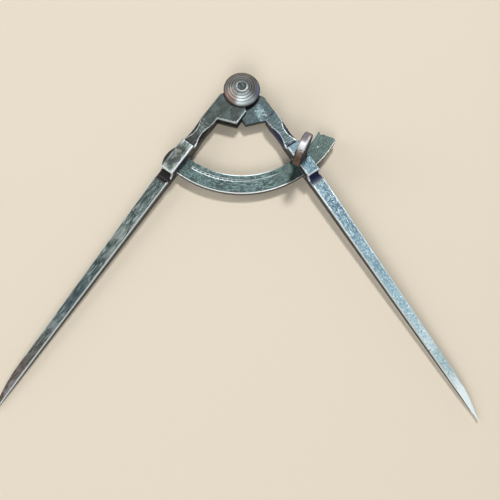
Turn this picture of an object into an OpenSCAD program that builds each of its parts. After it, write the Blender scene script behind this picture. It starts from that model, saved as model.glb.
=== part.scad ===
/* [Opening] */
// Angle between the two points, seen from the pivot
open_angle = 69.8; // [40:0.1:80]

/* [Legs] */
// Distance from the pivot to each point
leg_len = 200; // [180:1:240]
// Thickness of the head and waist
leg_t = 7.5; // [6.5:0.1:9]
// Inner edge of the leg, measured outwards from the line of pivot and point
leg_in = 1; // [0.8:0.05:2]
// Outer edge of the leg, measured outwards from the same line
leg_out = 7.9; // [7:0.1:9.5]
// Distance from the pivot to where the outer edge turns in to the point
point_y = 178; // [150:1:185]
// Width of the leg where the point starts
point_w = 4.3; // [3.5:0.1:5]
// Distance from the pivot to where the faces turn in to the point
thin_y = 170; // [145:1:177]
// Thickness of the leg where its faces turn in
thin_t = 4.2; // [3:0.1:5]
// Width and thickness of the blunted tip
tip_w = 0.4; // [0.2:0.05:0.8]
// Room left between the two tips when the legs are shut
tip_gap = 0.1; // [0.05:0.05:0.3]

/* [Head] */
// Radius of the round end of the head, about the pivot
eye_r = 8; // [7:0.1:9]
// Where the round end runs out into the head's sloping corners, in degrees from the leg
eye_turn = 48; // [40:1:60]
// Distance from the pivot to the outer top corner of the head
head_top = 8.6; // [8:0.1:10.5]
// How far the ear of the head reaches inwards across the joint
ear_reach = 8.6; // [7.5:0.1:9.5]
// Distance from the pivot to the upper corner of the ear
ear_top = 7.8; // [6.5:0.1:9]
// Distance from the pivot to the lower corner of the ear
ear_low = 16.2; // [14:0.1:17]
// Distance from the pivot to the notch between the ear and the inner edge
crotch_y = 19.8; // [18:0.1:22]
// Radius of the round shoulder that the leaves of the joint turn in
joint_r = 20; // [19.6:0.1:22]
// Thickness of the middle leaf, which belongs to the right leg
tongue_t = 2.6; // [2:0.1:3]
// Room between the faces of the leaves
leaf_gap = 0.06; // [0.04:0.01:0.15]

/* [Waist] */
// Distance from the pivot to the middle of the hollowed edges
waist_y = 31; // [30:0.1:32]
// Length of the hollow along an edge
hollow_len = 12.4; // [10:0.1:13]
// Depth of the outer hollow across the face of the leg
hollow_out = 1.8; // [1.2:0.1:2.2]
// Depth of the inner hollow across the face of the leg
hollow_in = 1.5; // [1:0.1:2]

/* [Boxes] */
// Distance from the pivot to the near end of the box that the wing goes through
box_y = 39.3; // [39:0.1:40]
// Length of the box
box_len = 18.2; // [17:0.1:20]
// Height of the box above the face of the leg
box_rise = 3.75; // [3:0.05:5]
// Radius of the fillet from the waist up to the box
box_fillet = 2; // [1:0.1:2.2]
// Radius of the filed groove below the box
groove_r = 2.6; // [2:0.1:3]
// Depth of that groove below the face of the leg
groove_depth = 1.15; // [0.6:0.05:1.5]

/* [Wing] */
// Inner radius of the wing, about the pivot
wing_in = 44.6; // [44:0.1:46]
// Width of the wing
wing_w = 9.8; // [8:0.1:10.5]
// Thickness of the wing
wing_t = 2.5; // [2:0.1:3]
// Direction of the wing's free end, in degrees from the middle of the opening
wing_angle = 62; // [58:0.5:66]
// Depth of the worn nick in the free end
nick_depth = 0.9; // [0.4:0.1:1.2]
// How far out from the wing's inner edge the nick is
nick_in = 1.6; // [1.2:0.1:2.5]
// Length of the peened head that holds the wing in the left leg
peen_len = 15.5; // [14:0.1:17]
// How far the peened head stands out of the left box
peen_rise = 3; // [2:0.1:3.5]
// Thickness of the peened head
peen_t = 4.4; // [3.2:0.1:5]
// How far the peened head sits towards the point from the middle of the wing
peen_low = 0.9; // [0:0.1:1.5]
// Radius of the fillet between the wing's inner edge and the left box
root_fillet = 1.7; // [1:0.1:1.8]
// Room around the wing where it is fixed in the left box
fix_gap = 0.04; // [0.02:0.01:0.06]
// Room around the edges of the wing where it slides in the right box
slide_gap = 0.3; // [0.2:0.05:0.5]
// Room above and below the wing where it slides in the right box
face_gap = 0.12; // [0.08:0.01:0.2]

/* [Pivot] */
// Radius of the pivot rivet
rivet_r = 2.2; // [1.8:0.1:2.4]
// Running room between the rivet and the middle leaf
pivot_gap = 0.05; // [0.02:0.01:0.09]
// Room between the rivet and the pieces it is peened into
tight_gap = 0.02; // [0.01:0.01:0.03]
// Height of the rivet's crowned front end above the front washer
rivet_crown = 0.25; // [0.1:0.05:0.4]
// Height of the rivet's flat back end above the back washer
rivet_back = 0.3; // [0.2:0.05:0.5]

/* [Washers] */
// Radius of the domed front washer
dome_r = 9.3; // [8.5:0.1:10.5]
// Height of the front washer's upright rim
dome_rim = 0.5; // [0.3:0.1:1.2]
// Height of the front washer's dome above its rim
dome_h = 5; // [3.5:0.1:5.5]
// Number of turned steps round the rivet
ring_count = 5; // [3:1:5]
// Width of one turned step
ring_w = 1.25; // [1:0.05:1.3]
// Height of one turned step
ring_step = 0.2; // [0.1:0.05:0.35]
// Radius of the back washer
back_r = 8.4; // [7.5:0.1:9]
// Height of the back washer's upright rim
back_rim = 0.7; // [0.5:0.1:1]
// Height of the back washer's dome above its rim
back_h = 1.5; // [1:0.1:2]

/* [Clamp screw] */
// Distance from the pivot to the screw, along the leg
screw_y = 47; // [46:0.1:48.5]
// How far the screw sits inwards from the middle of the box
screw_in = 0.4; // [0:0.05:0.5]
// Radius of the threaded shank
shank_r = 2.2; // [1.8:0.1:2.4]
// Room between the shank and the tapped hole
thread_gap = 0.08; // [0.03:0.01:0.09]
// Radius of the shank's bearing tip
bear_r = 1.2; // [0.8:0.1:1.6]
// Length of the cone behind the bearing tip
bear_h = 1.1; // [0.6:0.1:1.5]
// Room between the bearing tip and the wing
bear_gap = 0.03; // [0.02:0.01:0.05]
// Length of shank that shows above the box
shank_show = 0.8; // [0.6:0.05:2]
// Radius of the spigot that carries the thumb piece
spigot_r = 1.3; // [1:0.1:1.5]
// Length of the spigot
spigot_len = 2.6; // [2:0.1:3.5]
// Room between the spigot's shoulder and the thumb piece
turn_gap = 0.05; // [0.03:0.01:0.1]

/* [Thumb piece] */
// Radius of the round thumb piece
thumb_r = 8.6; // [7:0.1:10]
// Thickness of the thumb piece at its rim
thumb_t = 3.9; // [3.4:0.1:4.8]
// Bevel on the rim's edges
thumb_bevel = 0.5; // [0.2:0.05:0.8]
// Radius of the neck below the thumb piece
neck_r = 3; // [2.6:0.1:3.5]
// Length of the straight neck below the thumb piece
neck_len = 1.05; // [0.8:0.05:3]
// Direction of the thumb piece's face, in degrees clockwise from the line away from the points
thumb_turn = 23.8; // [0:0.1:90]

/* [Hidden] */
$fn = 64;

// Cutting solids overshoot the piece by this much
over = 1;
// A filed curve starts at a faint shoulder of this many degrees
shoulder = 1;
half = open_angle / 2;
leg_w = leg_out - leg_in;
leg_mid = (leg_in + leg_out) / 2;
face_z = leg_t / 2;
// The rivet's flat back end lies at height 0, and the legs' middle plane at mid_z
back_z = back_rim + back_h + rivet_back;
mid_z = back_z + face_z;
front_z = mid_z + face_z;

// Heights in a leg are measured from its middle plane
box_z = face_z + box_rise;
box_end = box_y + box_len;
groove_y = box_end + groove_r;
groove_z = face_z + groove_r - groove_depth;
// The edges and the faces of the leg both start to taper inside the groove
taper_y = groove_y + groove_r / 2;
slope_y = groove_y - groove_r / 2;
tip_in = tip_gap / 2;
// Inner edge of the leg where the point starts, on the straight line to the tip
point_in = tip_in + (leg_in - tip_in) * (leg_len - point_y) / (leg_len - taper_y);
// Slopes of the outer edge and of the back and front faces along the taper
edge_slope = (leg_out - point_in - point_w) / (point_y - taper_y);
face_slope = (face_z - thin_t / 2) / (thin_y - slope_y);

wing_out = wing_in + wing_w;
// The fixed end of the wing lies this far inside the peened head
wing_root = 0.3;
wing_start = -half - asin((leg_out + wing_root) / wing_in);
wing_top = mid_z + wing_t / 2;
peen_r = (pow(peen_len / 2, 2) + pow(peen_rise, 2)) / (2 * peen_rise);
peen_y = sqrt(pow(wing_in + wing_w / 2, 2) - pow(leg_out, 2)) + peen_low;
root_y = sqrt(pow(wing_in, 2) - pow(leg_in, 2));

dome_ball = (pow(dome_r, 2) + pow(dome_h, 2)) / (2 * dome_h);
back_ball = (pow(back_r, 2) + pow(back_h, 2)) / (2 * back_h);

// The screw's axis, outwards from the line of pivot and point
screw_out = leg_mid - screw_in;
screw_x = screw_y * sin(half) + screw_out * cos(half);
screw_back = screw_y * cos(half) - screw_out * sin(half);
neck_z = mid_z + box_z + shank_show;
thumb_z = neck_z + neck_len + thumb_r;
neck_taper = 3;

leg_steel = "#66706f";
wing_steel = "#6d7f79";
turned_steel = "#77696a";

// A point of the leg: a along the leg from the pivot, p inwards from the line of pivot and tip
function at(a, p) = [p, -a];
// A point on the line through the pivot and a direction, in degrees from the middle of the opening
function out_at(r, turn) = [r * sin(turn), -r * cos(turn)];
// A direction turned to the left
function turned(v, turn) = [v[0] * cos(turn) - v[1] * sin(turn), v[0] * sin(turn) + v[1] * cos(turn)];
// Height of the dome at a distance from its axis
function dome_z(r) = front_z + dome_rim + dome_h - dome_ball + sqrt(pow(dome_ball, 2) - r * r);

// What is filed off a straight edge so that it bends round to the left, from one point to another
module round_off(from, run, to) {
    way = turned(run / norm(run), shoulder);
    side = turned(way, 90);
    chord = to - from;
    r = chord * chord / (2 * (chord * side));
    back = from - over * way;
    long = chord * way + 2 * over;
    drop = chord * side + over;
    difference() {
        polygon([back - over * side, back + long * way - over * side,
                 back + long * way + drop * side, back + drop * side]);
        translate(from + r * side) circle(r = r, $fn = 360);
    }
}

// Outline of the leg seen from the front
module leg_plan() {
    turn_in = eye_r * sin(eye_turn);
    turn_down = eye_r * cos(eye_turn);
    edge_end = point_in + point_w - edge_slope * (leg_len - point_y);
    difference() {
        union() {
            circle(r = eye_r);
            polygon([
                at(turn_down, -turn_in),
                at(head_top, -leg_out),
                at(taper_y, -leg_out),
                at(leg_len, -edge_end),
                at(leg_len, -tip_in),
                at(taper_y, -leg_in),
                at(crotch_y, -leg_in),
                at(ear_low, ear_reach),
                at(ear_top, ear_reach),
                at(turn_down, turn_in),
            ]);
        }
        round_off(at(point_y, -point_in - point_w), at(1, edge_slope), at(leg_len, -tip_in - tip_w));
    }
}

// Outline of the leg seen from its edge, a wedge: distance from the pivot, then height
module leg_side() {
    wedge_top = face_z + face_slope * (slope_y + eye_r + over);
    wedge_end = thin_t / 2 - face_slope * (leg_len - thin_y + over);
    difference() {
        polygon([
            [-eye_r - over, -wedge_top],
            [leg_len + over, -wedge_end],
            [leg_len + over, wedge_end],
            [-eye_r - over, wedge_top],
        ]);
        for (up = [0, 1])
            mirror([0, up])
                round_off([thin_y, -thin_t / 2], [1, face_slope], [leg_len, -tip_w / 2]);
    }
}

// A round scoop out of one long edge of the waist, across the corner at 45 degrees
module waist_hollow(edge, depth, sx, sz) {
    s = depth * cos(45);
    r = (pow(hollow_len / 2, 2) + s * s) / (2 * s);
    translate([edge, -waist_y, sz * face_z])
        rotate([0, -45 * sx * sz, 0])
            translate([sx * (r - s), 0, 0])
                cylinder(r = r, h = 2 * (depth + over), center = true);
}

// The raised box with a fillet up from the waist
module box_block() {
    translate([-leg_out, -groove_y, 0]) cube([leg_w, groove_y - box_y, box_z]);
    difference() {
        translate([-leg_out, -box_y - over, face_z - over])
            cube([leg_w, box_fillet + over, box_fillet + over]);
        translate([-leg_mid, box_fillet - box_y, face_z + box_fillet])
            rotate([0, 90, 0])
                cylinder(r = box_fillet, h = leg_w + 2 * over, center = true);
    }
}

// The round groove below the box, which also squares the box's end
module groove_cut() {
    translate([-leg_mid, -groove_y, groove_z])
        rotate([0, 90, 0])
            cylinder(r = groove_r, h = leg_w + 2 * over, center = true);
    translate([-leg_out - over, -groove_y - groove_r, groove_z])
        cube([leg_w + 2 * over, 2 * groove_r, box_z]);
}

// A leg as forged and filed, pointing along -Y with its middle plane at height 0
module leg_blank() {
    difference() {
        union() {
            difference() {
                intersection() {
                    linear_extrude(height = leg_t, center = true) leg_plan();
                    rotate([90, 0, -90])
                        linear_extrude(height = 4 * leg_out, center = true) leg_side();
                }
                for (sz = [-1, 1]) {
                    waist_hollow(-leg_out, hollow_out, -1, sz);
                    waist_hollow(-leg_in, hollow_in, 1, sz);
                }
            }
            box_block();
        }
        groove_cut();
    }
}

// The path of the wing, with room at its edges and faces
module wing_band(edge_room, face_room) {
    rotate_extrude()
        translate([wing_in - edge_room, -wing_t / 2 - face_room])
            square([wing_w + 2 * edge_room, wing_t + 2 * face_room]);
}

// The left leg ends in two cheeks with a slot between them
module left_leg() {
    color(leg_steel)
        translate([0, 0, mid_z])
            rotate([0, 0, -half])
                difference() {
                    leg_blank();
                    cylinder(r = joint_r, h = tongue_t + 2 * leaf_gap, center = true);
                    cylinder(r = rivet_r + tight_gap, h = leg_t + 2 * over, center = true);
                    wing_band(fix_gap, fix_gap);
                }
}

// The right leg ends in one leaf that turns in that slot
module right_leg() {
    color(leg_steel)
        translate([0, 0, mid_z])
            rotate([0, 0, half])
                mirror([1, 0, 0])
                    difference() {
                        leg_blank();
                        for (up = [0, 1])
                            mirror([0, 0, up])
                                translate([0, 0, tongue_t / 2])
                                    cylinder(r = joint_r, h = leg_t);
                        cylinder(r = rivet_r + pivot_gap, h = leg_t, center = true);
                        wing_band(slide_gap, face_gap);
                        translate([-screw_out, -screw_y, 0])
                            cylinder(r = shank_r + thread_gap, h = box_z + over);
                    }
}

// The head upset on the wing's fixed end, against the outside of the left box
module peened_head() {
    intersection() {
        translate([peen_r - leg_out - peen_rise, -peen_y, 0])
            cylinder(r = peen_r, h = peen_t, center = true);
        translate([-leg_out - peen_rise - over, -peen_y - peen_len, -peen_t])
            cube([peen_rise + over, 2 * peen_len, 2 * peen_t]);
    }
}

// The fillet between the wing's inner edge and the inside of the left box
module wing_fillet() {
    size = root_fillet - fix_gap;
    translate([fix_gap - leg_in, -root_y, 0])
        difference() {
            translate([0, -over, -wing_t / 2])
                cube([size, size + over, wing_t]);
            translate([size, size, 0])
                cylinder(r = size, h = wing_t + 2 * over, center = true);
        }
}

// The flat arc that slides through the right leg
module wing() {
    span = wing_angle - wing_start;
    color(wing_steel)
        translate([0, 0, mid_z])
            difference() {
                union() {
                    intersection() {
                        wing_band(0, 0);
                        linear_extrude(height = wing_t + 2 * over, center = true)
                            polygon([
                                [0, 0],
                                for (i = [0:4]) out_at(2 * wing_out, wing_start + span * i / 4),
                            ]);
                    }
                    rotate([0, 0, -half]) {
                        peened_head();
                        wing_fillet();
                    }
                }
                translate(concat(out_at(wing_in + nick_in, wing_angle), 0))
                    cylinder(r = nick_depth, h = wing_t + 2 * over, center = true);
            }
}

// Flat at the back, crowned where it is peened into the front washer
module pivot_rivet() {
    crown_z = dome_z(rivet_r) - ring_step;
    color(turned_steel) {
        cylinder(r = rivet_r, h = crown_z);
        translate([0, 0, crown_z])
            cylinder(r1 = rivet_r, r2 = rivet_r - 2 * rivet_crown, h = rivet_crown);
    }
}

// A dome on an upright rim, turned down in steps round the rivet
module front_washer() {
    color(turned_steel)
        difference() {
            intersection() {
                translate([0, 0, front_z + dome_rim + dome_h - dome_ball])
                    sphere(r = dome_ball);
                translate([0, 0, front_z])
                    cylinder(r = dome_r, h = dome_rim + dome_h + over);
            }
            for (i = [1:ring_count]) {
                near = rivet_r + (i - 1) * ring_w;
                far = near + ring_w;
                rotate_extrude()
                    polygon([
                        [near, dome_z(near) - ring_step],
                        [far, dome_z(far)],
                        [far, dome_z(0) + over],
                        [near, dome_z(0) + over],
                    ]);
            }
            translate([0, 0, front_z - over])
                cylinder(r = rivet_r + tight_gap, h = dome_rim + dome_h + 2 * over);
        }
}

// A low plain dome on the back
module back_washer() {
    color(turned_steel)
        difference() {
            intersection() {
                translate([0, 0, rivet_back + back_ball])
                    sphere(r = back_ball, $fn = 180);
                cylinder(r = back_r, h = back_z);
            }
            translate([0, 0, -over])
                cylinder(r = rivet_r + tight_gap, h = back_z + 2 * over);
        }
}

// The threaded shank, from its bearing tip on the wing to the spigot in the thumb piece
module screw_shank() {
    tip_z = wing_top + bear_gap;
    color(turned_steel)
        translate([screw_x, -screw_back, 0]) {
            translate([0, 0, tip_z])
                cylinder(r1 = bear_r, r2 = shank_r, h = bear_h);
            translate([0, 0, tip_z + bear_h])
                cylinder(r = shank_r, h = neck_z - tip_z - bear_h);
            translate([0, 0, neck_z - over])
                cylinder(r = spigot_r, h = spigot_len + over);
        }
}

// The round thumb piece that stands on edge on its neck
module thumb_disc() {
    flat = thumb_t / 2;
    color(turned_steel)
        translate([screw_x, -screw_back, 0])
            rotate([0, 0, -thumb_turn])
                difference() {
                    union() {
                        translate([0, 0, thumb_z])
                            rotate([0, 90, 0])
                                rotate_extrude()
                                    polygon([
                                        [0, -flat],
                                        [thumb_r - thumb_bevel, -flat],
                                        [thumb_r, thumb_bevel - flat],
                                        [thumb_r, flat - thumb_bevel],
                                        [thumb_r - thumb_bevel, flat],
                                        [0, flat],
                                    ]);
                        translate([0, 0, neck_z + turn_gap])
                            cylinder(r = neck_r, h = neck_len - turn_gap);
                        translate([0, 0, neck_z + neck_len])
                            cylinder(r1 = neck_r, r2 = flat, h = neck_taper);
                    }
                    translate([0, 0, neck_z])
                        cylinder(r = spigot_r + pivot_gap, h = spigot_len + turn_gap);
                }
}

left_leg();
right_leg();
wing();
pivot_rivet();
front_washer();
back_washer();
screw_shank();
thumb_disc();
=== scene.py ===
import math
import bmesh
import bpy
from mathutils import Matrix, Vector, kdtree, noise


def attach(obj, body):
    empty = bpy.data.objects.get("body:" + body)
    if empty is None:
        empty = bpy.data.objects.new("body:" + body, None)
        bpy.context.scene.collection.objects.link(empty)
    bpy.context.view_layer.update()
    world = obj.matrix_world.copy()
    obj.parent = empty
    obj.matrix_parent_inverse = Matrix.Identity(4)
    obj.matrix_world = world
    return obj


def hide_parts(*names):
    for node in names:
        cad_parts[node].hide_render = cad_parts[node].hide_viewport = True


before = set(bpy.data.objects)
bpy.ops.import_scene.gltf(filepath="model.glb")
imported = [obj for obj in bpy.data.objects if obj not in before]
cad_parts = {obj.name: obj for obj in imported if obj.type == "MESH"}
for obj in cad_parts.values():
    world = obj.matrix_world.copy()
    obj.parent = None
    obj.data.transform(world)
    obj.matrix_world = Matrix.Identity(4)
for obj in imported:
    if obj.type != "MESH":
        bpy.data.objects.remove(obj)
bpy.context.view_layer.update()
scene = bpy.context.scene
mm = 0.001
halfOpening = math.radians(34.9)  # each leg lies this far from the middle of the opening
midHeight = 6.25                  # mm, middle plane of the legs
screwDown, screwOut = 47.0, 4.05  # mm, the clamp screw's place along and across the right leg
upright = Vector((0, 0, 1))
sharpDegrees = 28                 # edges that turn by more than this are rounded and worn
creaseDegrees = 34                # on the rounded piece, edges that turn by more than this shade as creases
flatDegrees = 0.2                 # faces that turn by less than this are one flat face
samePoint = 0.002                 # mm, points nearer than this are one
sliver = 0.004                    # mm, edges shorter than this are taken out after rounding
sampleStep = 0.3                  # mm between the points that stand for a worn edge
nearly = 0.01                     # room for rounding in a comparison
onCut = 1e-7                      # m, points nearer to a cut than this lie on it


def linearColour(hexCode):
    parts = [int(hexCode[i:i + 2], 16) / 255 for i in (1, 3, 5)]
    return [c / 12.92 if c <= 0.04045 else ((c + 0.055) / 1.055) ** 2.4 for c in parts] + [1.0]


def addNode(tree, kind, inputs, out=0, **settings):
    node = tree.nodes.new("ShaderNode" + kind)
    for key, value in settings.items():
        setattr(node, key, value)
    for key, value in inputs.items():
        if isinstance(value, bpy.types.NodeSocket):
            tree.links.new(value, node.inputs[key])
        else:
            node.inputs[key].default_value = value
    return node.outputs[out] if node.outputs else node


# A finish is a stack of layers, each with its own colour, metal share, roughness and strength
def layer(hexCode, metal, rough, share=1.0):
    return {"colour": linearColour(hexCode), "metal": metal, "rough": rough, "share": share}


# The layer goes over the finish where all its bands hold.
# A band is a value that goes from one level, where there is none of the layer, to another, where there is all
def addLayer(tree, under, over, bands):
    mask = over["share"]
    for value, none, full in bands:
        band = addNode(tree, "MapRange", {0: value, 1: none, 2: full}, interpolation_type="SMOOTHSTEP")
        mask = addNode(tree, "Math", {0: band, 1: mask}, operation="MULTIPLY")
    colours = {0: mask, 6: under["colour"], 7: over["colour"]}
    mixed = {"colour": addNode(tree, "Mix", colours, 2, data_type="RGBA")}
    for part in ("metal", "rough"):
        mixed[part] = addNode(tree, "Mix", {0: mask, 2: under[part], 3: over[part]}, data_type="FLOAT")
    return mixed


# Layers that all the steel has under the zones of its own
patina = [
    ("mid", ("cloud", 0.4, 0.6)),
    ("pale", ("grain", 0.54, 0.68)),
    ("pit", ("grain", 0.45, 0.3)),
    ("shine", ("scratch", 0.54, 0.62)),
    ("score", ("scratch", 0.46, 0.38)),
]
# And over them: painted shade darkens the upright faces, with brown bloom and a few file marks
onSides = ("steep", 0.8, 0.5)
wornOver = [
    ("sideShade", onSides),
    ("bloom", onSides, ("cloud", 0.44, 0.62)),
    ("filed", onSides, ("grain", 0.52, 0.66)),
    # Painted shade in the corners, the groove, the fillet and the hollows
    ("paintedShade", ("paintedShade", 0.0, 1.0)),
    ("bare", ("level", 0.62, 1.12)),
]
steel = {
    "noiseRough": 0.6, "cloudDetail": 3, "grainDetail": 2, "scratchDetail": 2, "scratchLean": 0.02,
    "uneven": 0.3, "grainDepth": 0.4, "reliefMm": 0.05,
}


# Old carbon steel, forged or turned, then filed: cloudy patina, fine grain, pits and drawn-out scratches,
# painted shade on the upright faces and in the corners, bare bright steel where hands rub it
def agedSteel(name, look, fields=None):
    material = bpy.data.materials.new(name)
    material.use_nodes = True
    tree = material.node_tree
    tree.nodes.clear()
    place = addNode(tree, "TexCoord", {}, "Object")
    normal = addNode(tree, "TexCoord", {}, "Normal")
    # Millimetres, turned so that Y runs along the piece
    toMm = 1 / mm
    turned = (0, 0, look["turn"])
    spot = addNode(tree, "Mapping", {0: place, "Scale": (toMm, toMm, toMm), "Rotation": turned})
    flat = addNode(tree, "Mapping", {0: place, "Scale": (toMm, -toMm, 0)})
    radius = addNode(tree, "VectorMath", {0: flat}, "Value", operation="LENGTH")
    right = addNode(tree, "SeparateXYZ", {0: flat}, "X")
    front = addNode(tree, "SeparateXYZ", {0: flat}, "Y")
    turn = addNode(tree, "Math", {0: right, 1: front}, operation="ARCTAN2")
    along = spot
    if look["marksRun"] == "round":
        arc = addNode(tree, "Math", {0: turn, 1: look["arcMm"]}, operation="MULTIPLY")
        along = addNode(tree, "CombineXYZ", {"X": radius, "Y": arc})
    if look["marksRun"] == "turned":
        depth = addNode(tree, "SeparateXYZ", {0: spot}, "Z")
        along = addNode(tree, "CombineXYZ", {"X": radius, "Z": depth})
    # Clouds of patina, drawn out along the work
    cloudSize = (1 / look["cloudMm"], 1 / (look["cloudMm"] * look["drawn"]), 1 / look["cloudMm"])
    cloudSpot = addNode(tree, "Mapping", {0: spot, "Scale": cloudSize, "Location": look["shift"]})
    clouds = {"Vector": cloudSpot, "Scale": 1, "Detail": steel["cloudDetail"]}
    cloud = addNode(tree, "TexNoise", {**clouds, "Roughness": steel["noiseRough"]}, "Fac")
    # Grain of the oxide, drawn a little coarser than life so that it shows
    grains = {"Vector": spot, "Scale": 1 / look["grainMm"], "Detail": steel["grainDetail"]}
    grain = addNode(tree, "TexNoise", {**grains, "Roughness": steel["noiseRough"]}, "Fac")
    # Scratches left by file and cloth
    scratchSize = (1 / look["scratchWide"], 1 / look["scratchLong"], 1 / look["scratchWide"])
    scratchTurn = (0, 0, steel["scratchLean"])
    scratchSpot = addNode(tree, "Mapping", {0: along, "Scale": scratchSize, "Rotation": scratchTurn})
    scratches = {"Vector": scratchSpot, "Scale": 1, "Detail": steel["scratchDetail"]}
    scratch = addNode(tree, "TexNoise", {**scratches, "Roughness": steel["noiseRough"]}, "Fac")
    # Rubbing is uneven: it follows the grain and the clouds a little
    rubbed = addNode(tree, "Attribute", {}, "Fac", attribute_name="rubbed")
    uneven = addNode(tree, "Math", {0: cloud, 1: grain}, operation="ADD")
    lean = addNode(tree, "SeparateXYZ", {0: normal}, "Z")
    found = {
        "spot": spot, "flat": flat, "normal": normal, "lean": lean, "radius": radius, "turn": turn,
        "cloud": cloud, "grain": grain, "scratch": scratch,
        "steep": addNode(tree, "Math", {0: lean}, operation="ABSOLUTE"),
        "bearing": addNode(tree, "Math", {0: turn}, operation="DEGREES"),
        "paintedShade": addNode(tree, "Attribute", {}, "Fac", attribute_name="paintedShade"),
        "level": addNode(tree, "Math", {0: uneven, 1: steel["uneven"], 2: rubbed}, operation="MULTIPLY_ADD"),
    }
    if fields:
        found.update(fields(tree, found))
    stack = [(look[part], *bands) for part, *bands in patina]
    stack += look["zones"]
    stack += [(look[part], *bands) for part, *bands in wornOver]
    finish = look["dark"]
    for over, *bands in stack:
        finish = addLayer(tree, finish, over, [(found[key], none, full) for key, none, full in bands])
    # Hand-filed flats wave by a few hundredths of a millimetre, the grain is finer
    wave = addNode(tree, "Math", {0: cloud, 1: look["waves"]}, operation="MULTIPLY")
    relief = addNode(tree, "Math", {0: grain, 1: steel["grainDepth"], 2: wave}, operation="MULTIPLY_ADD")
    relief = addNode(tree, "Math", {0: scratch, 1: look["scratchDepth"], 2: relief}, operation="MULTIPLY_ADD")
    rise = {"Height": relief, "Strength": look["bump"], "Distance": steel["reliefMm"] * mm}
    surface = {
        "Base Color": finish["colour"], "Metallic": finish["metal"], "Roughness": finish["rough"],
        "Normal": addNode(tree, "Bump", rise), "Specular IOR Level": look["gloss"],
    }
    if look["marksRun"] == "turned":
        # Lathe marks stretch a highlight into a wedge
        surface["Anisotropic"] = look["stretch"]
        surface["Tangent"] = addNode(tree, "Tangent", {}, direction_type="RADIAL", axis="Z")
    addNode(tree, "OutputMaterial", {"Surface": addNode(tree, "BsdfPrincipled", surface)})
    return material


# A merged copy of a CAD node whose flat faces are whole again
def copyOfNode(node, shortest):
    bm = bmesh.new()
    bm.from_mesh(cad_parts[node].data)
    bmesh.ops.remove_doubles(bm, verts=bm.verts, dist=samePoint * mm)
    bmesh.ops.dissolve_degenerate(bm, dist=shortest * mm, edges=bm.edges)
    bmesh.ops.dissolve_limit(bm, angle_limit=math.radians(flatDegrees), verts=bm.verts, edges=bm.edges)
    return bm


def sharpEdges(bm, degrees):
    return [e for e in bm.edges if len(e.link_faces) == 2 and e.calc_face_angle() > math.radians(degrees)]


# Edges that touch a spared point stay sharp: there is no room for a round beside them
def bevelSharp(bm, width, degrees, spared=frozenset()):
    edges = [e for e in sharpEdges(bm, degrees) if spared.isdisjoint(e.verts)]
    bmesh.ops.bevel(bm, geom=edges, offset=width * mm, offset_type="OFFSET", affect="EDGES", segments=2,
                    profile=0.5, clamp_overlap=False, material=-1)
    bmesh.ops.dissolve_degenerate(bm, dist=sliver * mm, edges=bm.edges)


def cutPlane(bm, point, normal, geom=None, clear=False):
    if geom is None:
        geom = bm.verts[:] + bm.edges[:] + bm.faces[:]
    bmesh.ops.bisect_plane(bm, geom=geom, plane_co=point, plane_no=normal, clear_outer=clear, dist=onCut)


# Cuts in step along a direction, so that what is painted on the points can follow the surface
def cutInSteps(bm, direction, start, end, step):
    for i in range(int((end - start) / step + nearly) + 1):
        cutPlane(bm, direction * ((start + i * step) * mm), direction)


# How alike two faces point (a cosine), and how far in mm a face may lie off its plane or past the edge
sameFace = {"lean": 0.995, "off": 0.05, "past": 0.5}


# Cuts beside a long edge, on one of its faces, for a crisp line of wear
def supportCuts(bm, a, b, faceNormal, inwards, offsets):
    direction = (b - a).normalized()
    past = sameFace["past"] * mm
    furthest = (b - a).length + past
    for offset in offsets:
        chosen = []
        for face in bm.faces:
            away = face.calc_center_median() - a
            level = face.normal.dot(faceNormal) > sameFace["lean"]
            level = level and abs(away.dot(faceNormal)) < sameFace["off"] * mm
            if level and -past < away.dot(direction) < furthest:
                chosen.append(face)
        edges = list(dict.fromkeys(e for f in chosen for e in f.edges))
        points = list(dict.fromkeys(v for f in chosen for v in f.verts))
        cutPlane(bm, a + inwards * (offset * mm), inwards, chosen + edges + points)


# Points along an edge, with how much it is rubbed and how far that reaches into the faces
def samplesOn(edge, weight, reach):
    a, b = (v.co for v in edge.verts)
    steps = max(1, int(edge.calc_length() / (sampleStep * mm)))
    return [(a.lerp(b, (i + 0.5) / steps), weight, reach * mm) for i in range(steps)]


def paintNear(bm, name, samples, furthest):
    values = bm.verts.layers.float.get(name) or bm.verts.layers.float.new(name)
    tree = kdtree.KDTree(max(1, len(samples)))
    for i, sample in enumerate(samples):
        tree.insert(sample[0], i)
    tree.balance()
    for v in bm.verts:
        for _, i, away in tree.find_range(v.co, furthest * mm):
            _, weight, reach = samples[i]
            v[values] = max(v[values], weight * (1 - away / reach))


def makePiece(bm, name, material, body, node):
    for face in bm.faces:
        face.smooth = True
    for edge in bm.edges:
        edge.smooth = len(edge.link_faces) != 2 or edge.calc_face_angle() < math.radians(creaseDegrees)
    mesh = bpy.data.meshes.new(name)
    print(name, len(bm.verts), "points", sum(1 for e in bm.edges if len(e.link_faces) != 2), "open edges")
    bm.to_mesh(mesh)
    bm.free()
    mesh.materials.append(material)
    piece = bpy.data.objects.new(name, mesh)
    scene.collection.objects.link(piece)
    weighted = piece.modifiers.new("evenNormals", "WEIGHTED_NORMAL")
    weighted.keep_sharp = True
    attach(piece, body)
    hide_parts(node)


# A round piece from its half outline in millimetres, distance from the axis and height
def spinOutline(bm, outline, steps):
    points = [bm.verts.new((r * mm, 0, z * mm)) for r, z in outline]
    edges = [bm.edges.new(pair) for pair in zip(points, points[1:])]
    if outline[0][0] > 0:
        edges.append(bm.edges.new((points[-1], points[0])))
    bmesh.ops.spin(bm, geom=points + edges, cent=(0, 0, 0), axis=(0, 0, 1), angle=2 * math.pi, steps=steps,
                   use_merge=True)
    bmesh.ops.remove_doubles(bm, verts=bm.verts, dist=samePoint * mm)
    bmesh.ops.recalc_face_normals(bm, faces=bm.faces)


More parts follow.
